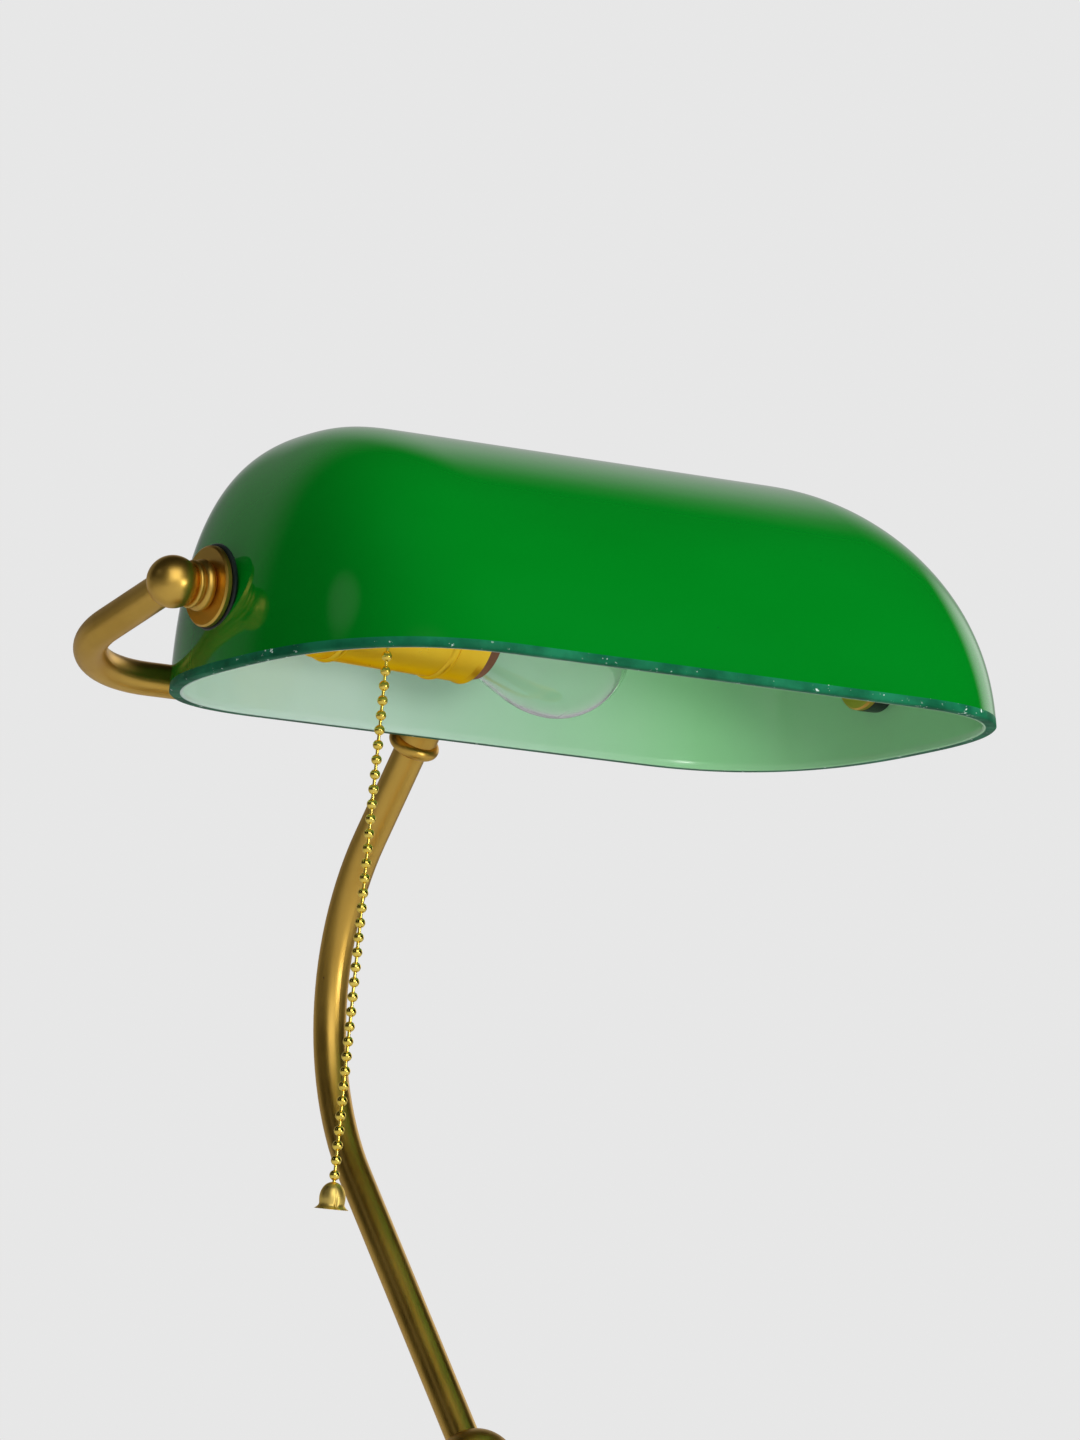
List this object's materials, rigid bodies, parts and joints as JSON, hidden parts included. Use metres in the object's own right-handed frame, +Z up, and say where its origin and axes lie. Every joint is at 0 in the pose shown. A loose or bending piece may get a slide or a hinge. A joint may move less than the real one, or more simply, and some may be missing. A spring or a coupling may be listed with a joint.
{
  "type": "banker desk lamp",
  "caption": "Desk lamp with a tilting trough-shaped green glass shade on a two-armed brass yoke, bent tube stem, round weighted foot and bead pull chain.",
  "frame": {"origin": "middle of the foot's underside, where it rests, straight below the shade's tilt axis", "axes": "+Z up, +X along the shade to the right of a person facing the lamp, -Y towards that person"},
  "size_m": [0.2962, 0.2072, 0.3757],
  "materials": {
    "satin_brass": "satin lacquered antique brass",
    "polished_brass": "bright polished brass",
    "bare_brass": "plain turned brass",
    "green_glass": "glossy green glass cased over opal",
    "clear_glass": "clear blown glass",
    "black_glass": "gloss black insulator",
    "black_rubber": "matt",
    "black_plastic": "moulded",
    "felt": "pressed wool felt",
    "cast_iron": "as cast",
    "zinc_steel": "zinc plated",
    "tungsten": "drawn wire",
    "nickel_cap": "rolled",
    "liner_card": "waxed card",
    "phenolic": "moulded phenolic"
  },
  "bodies": {
    "stand": {"arm_ball_left": "satin_brass", "arm_ball_right": "satin_brass", "arm_left": "satin_brass", "arm_right": "satin_brass", "base_neck": "satin_brass", "base_nipple": "zinc_steel", "base_nut": "zinc_steel", "base_shell": "satin_brass", "base_washer": "zinc_steel", "base_weight": "cast_iron", "bulb_cap": "nickel_cap", "bulb_glass": "clear_glass", "bulb_insulator": "black_glass", "bulb_mount": "clear_glass", "bulb_tip": "nickel_cap", "centre_contact": "bare_brass", "chain_spout": "polished_brass", "cord_bushing": "black_plastic", "felt_pad": "felt", "filament": "tungsten", "foot_ball": "satin_brass", "hub": "satin_brass", "hub_screws": "zinc_steel", "inner_nut_left": "satin_brass", "inner_nut_right": "satin_brass", "lead_wires": "tungsten", "pivot_flange_left": "satin_brass", "pivot_flange_right": "satin_brass", "pivot_nipple_left": "zinc_steel", "pivot_sleeve_left": "satin_brass", "pivot_sleeve_right": "satin_brass", "pivot_stud_right": "zinc_steel", "return_spring": "zinc_steel", "screw_shell": "bare_brass", "socket_body": "phenolic", "socket_cap": "polished_brass", "socket_coupling": "satin_brass", "socket_liner": "liner_card", "socket_nipple": "zinc_steel", "socket_shell": "polished_brass", "stem_ring": "satin_brass", "stem_tube": "satin_brass", "switch_pin": "zinc_steel", "terminal_screws": "bare_brass"},
    "shade": {"glass_shade": "green_glass", "outer_gasket_left": "black_rubber", "outer_gasket_right": "black_rubber", "inner_gasket_left": "black_rubber", "inner_gasket_right": "black_rubber"},
    "chain_top": {"chain_head": "polished_brass"},
    "chain_pivot": {"chain_link": "polished_brass"},
    "chain": {"pull_chain": "polished_brass", "bell_pull": "polished_brass"},
    "switch": {"switch_lever": "bare_brass"}
  },
  "joints": [
    {"name": "shade_tilt", "type": "hinge", "parent": "stand", "child": "shade", "pos_m": [0, 0, 0.32], "axis": [1, 0, 0], "range_deg": [-50, 45]},
    {"name": "chain_pull", "type": "slide", "parent": "stand", "child": "chain_top", "axis": [0, 0, -1], "range_m": [0, 0.008], "stiffness_N_per_m": 250, "springref_m": -0.0005},
    {"name": "chain_swing_side", "type": "hinge", "parent": "chain_top", "child": "chain_pivot", "pos_m": [-0.0758, -0.0215, 0.30952], "axis": [0, 1, 0], "range_deg": [-20, 20]},
    {"name": "chain_swing_front", "type": "hinge", "parent": "chain_pivot", "child": "chain", "pos_m": [-0.0758, -0.0215, 0.30952], "axis": [1, 0, 0], "range_deg": [-20, 20]},
    {"name": "switch_turn", "type": "hinge", "parent": "stand", "child": "switch", "pos_m": [-0.0758, -0.004, 0.31893], "axis": [0.9994, 0, -0.0349], "range_deg": [0, 40]}
  ],
  "couplings": [
    {"joint": "switch_turn", "follows": "chain_pull", "rad_per_m": 85}
  ]
}
